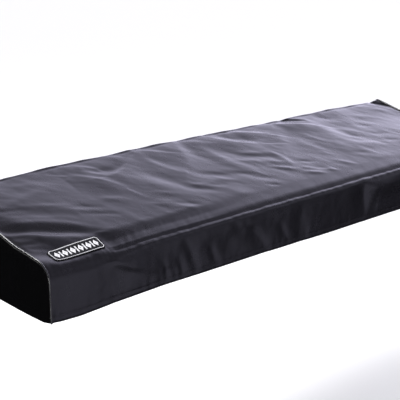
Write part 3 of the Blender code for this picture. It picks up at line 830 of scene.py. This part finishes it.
def stitches_object(name, path, up, pitch, material):
    """A row of sewn stitches along a path: each a short raised loop of thread that dips at both ends.

    A row of the profile holds a share of the pitch, a height above the cloth and a share of the radius.
    """
    at = run_lengths(path)
    radius, sides, look_ahead = 0.00042, 6, 0.0005
    profile = ((0.10, -0.0006, 0.5), (0.24, 0.00010, 1.0), (0.5, 0.00028, 1.05), (0.76, 0.00010, 1.0),
               (0.90, -0.0006, 0.5))

    def on_path(where):
        """The point of the path at a length along it."""
        return Vector([np.interp(where, at, path[:, axis]) for axis in range(3)])

    thread = bmesh.new()
    for k in range(int(at[-1] / pitch)):
        rings = []
        for share, proud, thick in profile:
            where = (k + share) * pitch
            centre = on_path(where)
            over = (on_path(where + look_ahead) - centre).normalized().cross(up).normalized()
            rings.append(ring_round(thread, centre + up * proud, over, up, thick * radius, sides))
        joined(thread, rings)
        close_ends(thread, rings)
    return worked_object(name, thread, material)


def math_node(tree, operation, first, second=None):
    """The result of a Math node on numbers or sockets."""
    node = tree.nodes.new("ShaderNodeMath")
    node.operation = operation
    for socket, value in zip(node.inputs, (first, second)):
        if isinstance(value, (int, float)):
            socket.default_value = value
        elif value is not None:
            tree.links.new(value, socket)
    return node.outputs[0]


def set_inputs(node, values):
    """Sets a node's inputs by their names."""
    for label, value in values.items():
        node.inputs[label].default_value = value


def plain_weave(group, given):
    """Warp and weft ridges that pass over and under each other, on the cloth's own lengths."""
    coords = group.nodes.new("ShaderNodeUVMap")
    coords.uv_map = "cloth"
    split = group.nodes.new("ShaderNodeSeparateXYZ")
    group.links.new(coords.outputs["UV"], split.inputs[0])
    turns = math_node(group, "MULTIPLY", given["Threads per metre"], math.pi)
    warp = math_node(group, "SINE", math_node(group, "MULTIPLY", split.outputs["X"], turns))
    weft = math_node(group, "SINE", math_node(group, "MULTIPLY", split.outputs["Y"], turns))
    return math_node(group, "MULTIPLY", warp, weft)


def nylon_crinkle(group, given):
    """Fine crinkles of coated nylon, drawn out across the cloth."""
    coords = group.nodes.new("ShaderNodeTexCoord")
    mapping = group.nodes.new("ShaderNodeMapping")
    set_inputs(mapping, {"Rotation": (0.0, 0.0, math.radians(38)), "Scale": (1.0, 0.42, 1.0)})
    texture = group.nodes.new("ShaderNodeTexNoise")
    set_inputs(texture, {"Detail": 4.0, "Distortion": 0.6})
    group.links.new(coords.outputs["Object"], mapping.inputs["Vector"])
    group.links.new(mapping.outputs["Vector"], texture.inputs["Vector"])
    group.links.new(given["Size"], texture.inputs["Scale"])
    group.links.new(given["Sharpness"], texture.inputs["Roughness"])
    return texture.outputs[0]


def cloth_mottle(group, given):
    """Slow changes of shade and dust over a cloth."""
    coords = group.nodes.new("ShaderNodeTexCoord")
    texture = group.nodes.new("ShaderNodeTexNoise")
    set_inputs(texture, {"Detail": 5.0, "Roughness": 0.6})
    group.links.new(coords.outputs["Object"], texture.inputs["Vector"])
    group.links.new(given["Size"], texture.inputs["Scale"])
    return texture.outputs[0]


# Effects that several finishes share: number inputs with their defaults, output, what builds the group
EFFECTS = {
    "plain_weave": ({"Threads per metre": 1400.0}, "Height", plain_weave),
    "nylon_crinkle": ({"Size": 30.0, "Sharpness": 0.55}, "Height", nylon_crinkle),
    "cloth_mottle": ({"Size": 9.0}, "Mask", cloth_mottle),
}


def effect_group(name):
    """The shader node group of a shared effect, built when a finish first asks for it."""
    group = bpy.data.node_groups.get(name)
    if group:
        return group
    inputs, output, build = EFFECTS[name]
    group = bpy.data.node_groups.new(name, "ShaderNodeTree")
    for label, default in inputs.items():
        socket = group.interface.new_socket(label, in_out="INPUT", socket_type="NodeSocketFloat")
        socket.default_value = default
    group.interface.new_socket(output, in_out="OUTPUT", socket_type="NodeSocketFloat")
    given, result = group.nodes.new("NodeGroupInput"), group.nodes.new("NodeGroupOutput")
    group.links.new(build(group, given.outputs), result.inputs[0])
    return group


def effect(tree, name, values):
    """The output of a shared effect, placed in a finish with its own values."""
    node = tree.nodes.new("ShaderNodeGroup")
    node.node_tree = effect_group(name)
    set_inputs(node, values)
    return node.outputs[0]


def spread(tree, mask, low, high):
    """The mask's middle range mapped to low and high."""
    node = tree.nodes.new("ShaderNodeMapRange")
    set_inputs(node, {"From Min": 0.3, "From Max": 0.7, "To Min": low, "To Max": high})
    tree.links.new(mask, node.inputs["Value"])
    return node.outputs[0]


def mottled(tree, shader, size, dark, pale, rough_dark, rough_pale):
    """Slow changes of colour and roughness over a finish."""
    mask = effect(tree, "cloth_mottle", {"Size": size})
    mix = tree.nodes.new("ShaderNodeMix")
    mix.data_type = "RGBA"
    set_inputs(mix, {"A": (*dark, 1.0), "B": (*pale, 1.0)})
    tree.links.new(spread(tree, mask, 0.0, 1.0), mix.inputs["Factor"])
    tree.links.new(mix.outputs["Result"], shader.inputs["Base Color"])
    tree.links.new(spread(tree, mask, rough_dark, rough_pale), shader.inputs["Roughness"])


def bumped(tree, shader, height, distance):
    """Feeds a height to the shader's normal."""
    bump = tree.nodes.new("ShaderNodeBump")
    bump.inputs["Distance"].default_value = distance
    tree.links.new(height, bump.inputs["Height"])
    tree.links.new(bump.outputs["Normal"], shader.inputs["Normal"])


def woven(tree, shader, threads, weave_share, crinkle_size, crinkle_share):
    """The relief of a woven finish: its threads and its crinkles, as shares of a millimetre."""
    weave = effect(tree, "plain_weave", {"Threads per metre": threads})
    crinkle = effect(tree, "nylon_crinkle", {"Size": crinkle_size})
    weave = math_node(tree, "MULTIPLY", weave, weave_share)
    crinkle = math_node(tree, "MULTIPLY", crinkle, crinkle_share)
    bumped(tree, shader, math_node(tree, "ADD", weave, crinkle), MM)


def new_material(name):
    """A new node material with its Principled shader."""
    material = bpy.data.materials.new(name)
    material.use_nodes = True
    return material, material.node_tree, material.node_tree.nodes["Principled BSDF"]


def nylon_material(name, colour, roughness, crinkle, gloss=0.5):
    """Coated woven nylon over thin padding."""
    material, tree, shader = new_material(name)
    pale = [min(1.0, 1.5 * c) for c in colour]
    mottled(tree, shader, 7.0, colour, pale, roughness + 0.03, roughness - 0.03)
    set_inputs(shader, {"IOR": 1.50, "Specular IOR Level": gloss})
    woven(tree, shader, 1400.0, 0.006, 34.0, crinkle)
    return material


def welt_material(colour):
    """Glossy satin round a cord, with its fine cross threads."""
    material, tree, shader = new_material("welt_satin")
    mottled(tree, shader, 60.0, colour, [1.8 * c for c in colour], 0.22, 0.28)
    set_inputs(shader, {"IOR": 1.56, "Coat Weight": 0.5, "Coat Roughness": 0.22})
    woven(tree, shader, 1800.0, 0.03, 120.0, 0.03)
    return material


def thread_material(name, colour, roughness):
    """Twisted sewing thread."""
    material, tree, shader = new_material(name)
    dark, pale = [0.8 * c for c in colour], [min(1.0, 1.15 * c) for c in colour]
    mottled(tree, shader, 220.0, dark, pale, roughness - 0.05, roughness + 0.05)
    bumped(tree, shader, effect(tree, "nylon_crinkle", {"Size": 900.0}), 0.4 * MM)
    return material


def drawing(context):
    """The cover's sizes, colours and shape."""
    scene = context.scene
    return scene.cover_sizes, scene.cover_colours, CoverShape(scene.cover_sizes)


def dress(piece, node_slot, *nodes):
    """Ties a piece to the body and hides the solids that it stands for; the finish name it is given is not
    used.
    """
    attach(piece, ROOT)
    if nodes:
        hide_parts(*nodes)
    return piece


class COVER_OT_wrap_panel(bpy.types.Operator):
    """Sews the one long panel that runs from the front hem over the top to the back hem"""

    bl_idname = "cover.wrap_panel"
    bl_label = "Wrap panel"

    def execute(self, context):
        sizes, colours, shape = drawing(context)
        points, lengths = shape.surface(shape.wrap_x)
        uv = np.stack([points[..., 0], lengths], axis=-1)
        material = nylon_material("padded_nylon", colours.nylon, 0.28, 0.25)
        wrap = padded_shell("wrap_cloth", shape.placed(points), uv, CLOTH, material)
        dress(wrap, "padded_nylon", "wrap_panel")
        shape.girth_length()
        return {"FINISHED"}


class COVER_OT_end_panels(bpy.types.Operator):
    """Sews the two wedge-shaped panels that close the ends"""

    bl_idname = "cover.end_panels"
    bl_label = "End panels"

    def execute(self, context):
        sizes, colours, shape = drawing(context)
        # The end panels' nylon is darker than the wrap's as painted shade, and given less gloss
        material = nylon_material("end_nylon", colours.end_nylon, 0.36, 0.2, 0.1)
        for side in ("left", "right"):
            points, crown = shape.end_surface(side)
            panel = grid_object("end_cloth_" + side, shape.placed(points), points[..., 1:], material,
                                side == "left")
            thicken(panel, CLOTH)
            dress(panel, "end_nylon", "end_panel_" + side)
        return {"FINISHED"}


class COVER_OT_piping(bpy.types.Operator):
    """Lays the round satin welt into both end seams"""

    bl_idname = "cover.piping"
    bl_label = "Piping"

    def execute(self, context):
        sizes, colours, shape = drawing(context)
        material = welt_material(colours.welt)
        reach, half_seam, point_gap, sides = sizes.welt_radius + 0.0004, (CLOTH + GAP) / 2, 0.0024, 14
        for side in ("left", "right"):
            outline = shape.outline(side)
            centre = outline + reach * outward(outline)
            x = half_seam if side == "left" else sizes.length - half_seam
            at = run_lengths(centre)
            fine = np.linspace(0.0, at[-1], int(at[-1] / point_gap))
            y, z = np.interp(fine, at, centre[:, 0]), np.interp(fine, at, centre[:, 1])
            path = shape.placed(np.stack([np.full_like(y, x), y, z], axis=1))
            radii = sizes.welt_radius * (1 + 0.03 * np.sin(fine * 330.0) + 0.03 * np.sin(fine * 121.0))
            radii[[0, -1]] *= 0.8
            piping = tube_object("welt_" + side, path, radii, sides, material)
            dress(piping, "welt_satin", "piping_" + side)
        return {"FINISHED"}


class COVER_OT_stitching(bpy.types.Operator):
    """Sews the rows of stitches along the hems"""

    bl_idname = "cover.stitching"
    bl_label = "Stitching"

    def execute(self, context):
        sizes, colours, shape = drawing(context)
        material = thread_material("seam_thread", colours.thread, 0.45)
        points, lengths = shape.surface(shape.wrap_x)
        placed = shape.placed(points)
        for name, facing, from_hem in (("front_hem_stitches", -1.0, lengths),
                                       ("back_hem_stitches", 1.0, lengths[:, -1:] - lengths)):
            column = np.argmin(np.abs(from_hem - sizes.hem_depth), axis=1)
            path = placed[np.arange(len(placed)), column]
            row = stitches_object(name, path, Vector((0.0, facing, 0.0)), sizes.stitch, material)
            dress(row, "padded_nylon")
        return {"FINISHED"}


class COVER_OT_badge(bpy.types.Operator):
    """Sews the small patch, with its pale outline and a plain ornament, on the top near the left corner"""

    bl_idname = "cover.badge"
    bl_label = "Patch"

    start_x = 0.0348
    reach = 0.0466
    tilt = -0.006
    corner_cut = 0.0046
    thick = 0.0012
    lift = 0.0004
    columns = 92
    rows = 28

    def execute(self, context):
        sizes, colours, shape = drawing(context)
        ground = nylon_material("badge_cloth", colours.patch, 0.60, 0.2, 0.2)
        pale = thread_material("badge_thread", colours.patch_thread, 0.55)
        columns, rows = self.columns, self.rows
        length, height = sizes.badge_length, sizes.badge_height
        along = length * np.arange(columns + 1) / columns
        surface, lengths = shape.surface(self.start_x + along)
        lines, lengths = surface[:, shape.front_spans:, 1:], lengths[:, shape.front_spans:]

        def laid(u, v, lift):
            """A point of the patch: u along it, v up it, lift above the cloth."""
            column = min(columns, max(0.0, u / length * columns))
            low, share = int(column), column - int(column)
            where = self.reach + self.tilt * u + v
            found = []
            for index in (low, min(low + 1, columns)):
                from_front = lengths[index] - lengths[index][0]
                raised = lines[index] + lift * outward(lines[index])
                found.append([np.interp(where, from_front, raised[:, axis]) for axis in (0, 1)])
            y, z = (1 - share) * np.array(found[0]) + share * np.array(found[1])
            return shape.placed((self.start_x + u, y, z))

        points = np.empty((columns + 1, rows + 1, 3))
        uv = np.empty((columns + 1, rows + 1, 2))
        for i, u in enumerate(along):
            cut = max(0.0, self.corner_cut - min(u, length - u))
            for j in range(rows + 1):
                v = cut + (height - 2 * cut) * j / rows
                points[i, j] = laid(u, v, self.lift)
                uv[i, j] = (self.start_x + u, v)
        patch = grid_object("badge_ground", points, uv, ground)
        thicken(patch, self.thick, offset=1.0)
        dress(patch, "badge_cloth", "badge_patch")
        self.sew("badge_outline", laid, self.outline(length, height), pale)
        self.sew("badge_ornament", laid, self.ornament(length, height), pale)
        return {"FINISHED"}

    def outline(self, length, height):
        """The pale satin-stitched line just inside the patch's edge, as one loop of ribs."""
        near, cut, stitch, half_width = 0.0026, self.corner_cut - 0.0006, 0.0011, 0.00075
        far_u, far_v = length - near, height - near
        corners = [
            (near + cut, near), (far_u - cut, near), (far_u, near + cut), (far_u, far_v - cut),
            (far_u - cut, far_v), (near + cut, far_v), (near, far_v - cut), (near, near + cut),
        ]
        profile = ((-1.0, -0.2), (-0.75, 0.62), (0.0, 1.0), (0.75, 0.62), (1.0, -0.2))
        path = []
        for start, end in zip(corners, corners[1:] + corners[:1]):
            path += straight(start, end, max(2, int(math.dist(start, end) / stitch)))
        loop = []
        for index, (u, v) in enumerate(path):
            before, after = path[index - 1], path[(index + 1) % len(path)]
            size = math.dist(before, after) / half_width
            side_u, side_v = (before[1] - after[1]) / size, (after[0] - before[0]) / size
            proud = 0.00045 * (1.0 if index % 2 else 0.72)
            loop.append([(u + side * side_u, v + side * side_v, proud * up) for side, up in profile])
        return [loop]

    def ornament(self, length, height):
        """A row of plain lozenges and upright bars in turn, each a loop of ribs."""
        count, margin, spans = 11, 0.0095, 8
        profile = ((1.0, -0.2), (0.94, 0.8), (0.70, 1.0), (0.17, 0.8), (0.12, -0.2))
        pitch = (length - 2 * margin) / count
        loops = []
        for k in range(count):
            mid_u, mid_v = margin + pitch * (k + 0.5), height / 2
            if k % 2:
                half_u, half_v = 0.0015, 0.0082
                corners = [(half_u, -half_v), (half_u, half_v), (-half_u, half_v), (-half_u, -half_v)]
            else:
                half_u, half_v = 0.0056, 0.0090
                corners = [(half_u, 0.0), (0.0, half_v), (-half_u, 0.0), (0.0, -half_v)]
            path = []
            for start, end in zip(corners, corners[1:] + corners[:1]):
                path += straight(start, end, spans)
            loop = []
            for index, (u, v) in enumerate(path):
                proud = 0.0005 * (1.0 if index % 2 else 0.75)
                loop.append([(mid_u + share * u, mid_v + share * v, proud * up) for share, up in profile])
            loops.append(loop)
        return loops

    def sew(self, name, laid, loops, material):
        """Sews closed loops of ribs, each rib given by its points: u, v and height above the patch."""
        base = self.lift + self.thick
        work = bmesh.new()
        for loop in loops:
            rings = [[work.verts.new(laid(u, v, base + up)) for u, v, up in rib] for rib in loop]
            joined(work, rings + rings[:1])
        dress(worked_object(name, work, material), "badge_cloth")


class COVER_OT_stage(bpy.types.Operator):
    """Sets the pale floor, the soft light and the camera"""

    bl_idname = "cover.stage"
    bl_label = "Stage"

    floor_height = -0.62
    floor_reach = 45.0

    # Glows of the room that shine on the cloth: direction, cosine where each starts and is full, strength
    glows = (
        ((0.860, 0.500, 0.087), 0.57, 1.05, 1.9),
        ((0.930, 0.360, 0.050), 0.86, 1.00, 1.65),
        ((0.250, -0.935, -0.250), 0.856, 0.90, 0.66),
        ((0.780, -0.540, 0.320), 0.93, 1.00, 0.40),
        ((0.600, -0.550, 0.580), 0.72, 1.00, 0.22),
    )

    # Boxes for the gloss of the piping and the front: name, place, aim, width, height, watts
    boxes = (
        ("overhead", (-1.46, 1.15, 1.86), (0.40, -0.478, -0.775), 0.8, 0.8, 70.0),
        ("low_front", (-2.6, -2.0, -0.3), (0.72, 0.66, 0.10), 0.8, 0.8, 16.0),
        ("low_left", (-3.2, -0.2, -0.5), (1.00, 0.00, 0.16), 0.6, 0.5, 14.0),
    )

    def execute(self, context):
        scene = context.scene
        scene.view_settings.view_transform = "Standard"
        self.floor(scene)
        self.world(scene)
        self.lights(scene)
        self.camera(scene)
        return {"FINISHED"}

    def floor(self, scene):
        """A wide matt floor that takes the soft shadow."""
        material, _, shader = new_material("studio_floor")
        set_inputs(shader, {"Base Color": (*scene.cover_colours.floor, 1.0), "Roughness": 0.9,
                            "Specular IOR Level": 0.1})
        ground = bmesh.new()
        bmesh.ops.create_grid(ground, x_segments=4, y_segments=4, size=self.floor_reach)
        mesh = bpy.data.meshes.new("floor")
        ground.to_mesh(mesh)
        ground.free()
        floor = linked_object("floor", mesh, material)
        floor.location.z = self.floor_height
        floor.visible_glossy = False

    def world(self, scene):
        """White around, but what shines on the cloth is a dim room with a bright window low behind it."""
        world = bpy.data.worlds.new("studio")
        world.use_nodes = True
        scene.world = world
        tree = world.node_tree
        room = tree.nodes["Background"]
        coords = tree.nodes.new("ShaderNodeTexCoord").outputs["Generated"]
        height = tree.nodes.new("ShaderNodeSeparateXYZ")
        tree.links.new(coords, height.inputs[0])
        above = self.rise(tree, height.outputs["Z"], -0.26, -0.04, 1.0)
        total = 0.03
        for direction, start, end, strength in self.glows:
            aim = tree.nodes.new("ShaderNodeVectorMath")
            aim.operation = "DOT_PRODUCT"
            aim.inputs[1].default_value = Vector(direction).normalized()
            tree.links.new(coords, aim.inputs[0])
            glow = self.rise(tree, aim.outputs["Value"], start, end, strength)
            behind = direction[1] > 0
            if behind:
                glow = math_node(tree, "MULTIPLY", glow, above)
            total = math_node(tree, "ADD", glow, total)
        room.inputs["Color"].default_value = (0.80, 0.775, 1.0, 1.0)
        tree.links.new(total, room.inputs["Strength"])
        white = tree.nodes.new("ShaderNodeBackground")
        path = tree.nodes.new("ShaderNodeLightPath")
        mix = tree.nodes.new("ShaderNodeMixShader")
        tree.links.new(path.outputs["Is Camera Ray"], mix.inputs["Fac"])
        tree.links.new(room.outputs[0], mix.inputs[1])
        tree.links.new(white.outputs[0], mix.inputs[2])
        tree.links.new(mix.outputs[0], tree.nodes["World Output"].inputs["Surface"])

    def rise(self, tree, value, start, end, top):
        """0 up to start, then smoothly up to top at end."""
        ramp = tree.nodes.new("ShaderNodeMapRange")
        ramp.interpolation_type = "SMOOTHSTEP"
        set_inputs(ramp, {"From Min": start, "From Max": end, "To Max": top})
        tree.links.new(value, ramp.inputs["Value"])
        return ramp.outputs[0]

    def lights(self, scene):
        """A wide soft sky that only fills, and the boxes."""
        sky = bpy.data.lights.new("sky", "SUN")
        sky.energy = 2.9
        sky.angle = math.radians(120)
        dome = bpy.data.objects.new("sky", sky)
        dome.visible_glossy = False
        scene.collection.objects.link(dome)
        for name, place, aim, width, height, watts in self.boxes:
            light = bpy.data.lights.new(name, "AREA")
            light.shape = "RECTANGLE"
            light.size, light.size_y = width, height
            light.energy = watts
            lamp = bpy.data.objects.new(name, light)
            lamp.location = place
            lamp.rotation_euler = Vector(aim).to_track_quat("-Z", "Y").to_euler()
            lamp.visible_camera = False
            scene.collection.objects.link(lamp)

    def camera(self, scene):
        """The photographed view: place in drawing coordinates, heading from +Y towards +X, and pitch."""
        shape = CoverShape(scene.cover_sizes)
        place = shape.placed((-0.9509, -1.3523, 0.6832))
        heading, pitch, roll = math.radians(44.23), math.radians(15.68), math.radians(0.09)
        focal_pixels, frame_pixels, sensor = 1001.66, 400, 36.0
        data = bpy.data.cameras.new("camera")
        data.sensor_width = sensor
        data.lens = focal_pixels * sensor / frame_pixels
        data.clip_end = 200.0
        camera = bpy.data.objects.new("camera", data)
        turn = Matrix.Rotation(-heading, 4, "Z") @ Matrix.Rotation(math.pi / 2 - pitch, 4, "X")
        camera.matrix_world = Matrix.Translation(place) @ turn @ Matrix.Rotation(roll, 4, "Z")
        scene.collection.objects.link(camera)
        scene.camera = camera


class VIEW3D_PT_cover(bpy.types.Panel):
    """Lists the cover's pieces, sizes and colours"""

    bl_label = "Padded Cover"
    bl_space_type = "VIEW_3D"
    bl_region_type = "UI"
    bl_category = "Cover"

    def draw(self, context):
        layout = self.layout
        for operator in PIECES:
            layout.operator(operator.bl_idname)
        for group in (context.scene.cover_sizes, context.scene.cover_colours):
            box = layout.box()
            for name in group.bl_rna.properties.keys():
                if name not in ("rna_type", "name"):
                    box.prop(group, name)


PIECES = (
    COVER_OT_stage,
    COVER_OT_wrap_panel,
    COVER_OT_end_panels,
    COVER_OT_piping,
    COVER_OT_stitching,
    COVER_OT_badge,
)
CLASSES = (CoverSizes, CoverColours, *PIECES, VIEW3D_PT_cover)


def register():
    """Makes the classes and the cover's properties known to Blender."""
    for cls in CLASSES:
        bpy.utils.register_class(cls)
    bpy.types.Scene.cover_sizes = bpy.props.PointerProperty(type=CoverSizes)
    bpy.types.Scene.cover_colours = bpy.props.PointerProperty(type=CoverColours)


def unregister():
    """Takes the classes and properties away again."""
    del bpy.types.Scene.cover_colours
    del bpy.types.Scene.cover_sizes
    for cls in reversed(CLASSES):
        bpy.utils.unregister_class(cls)


def main():
    """Sews every piece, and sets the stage."""
    register()
    bpy.ops.cover.stage()
    bpy.ops.cover.wrap_panel()
    bpy.ops.cover.end_panels()
    bpy.ops.cover.piping()
    bpy.ops.cover.stitching()
    bpy.ops.cover.badge()


if __name__ == "__main__":
    main()
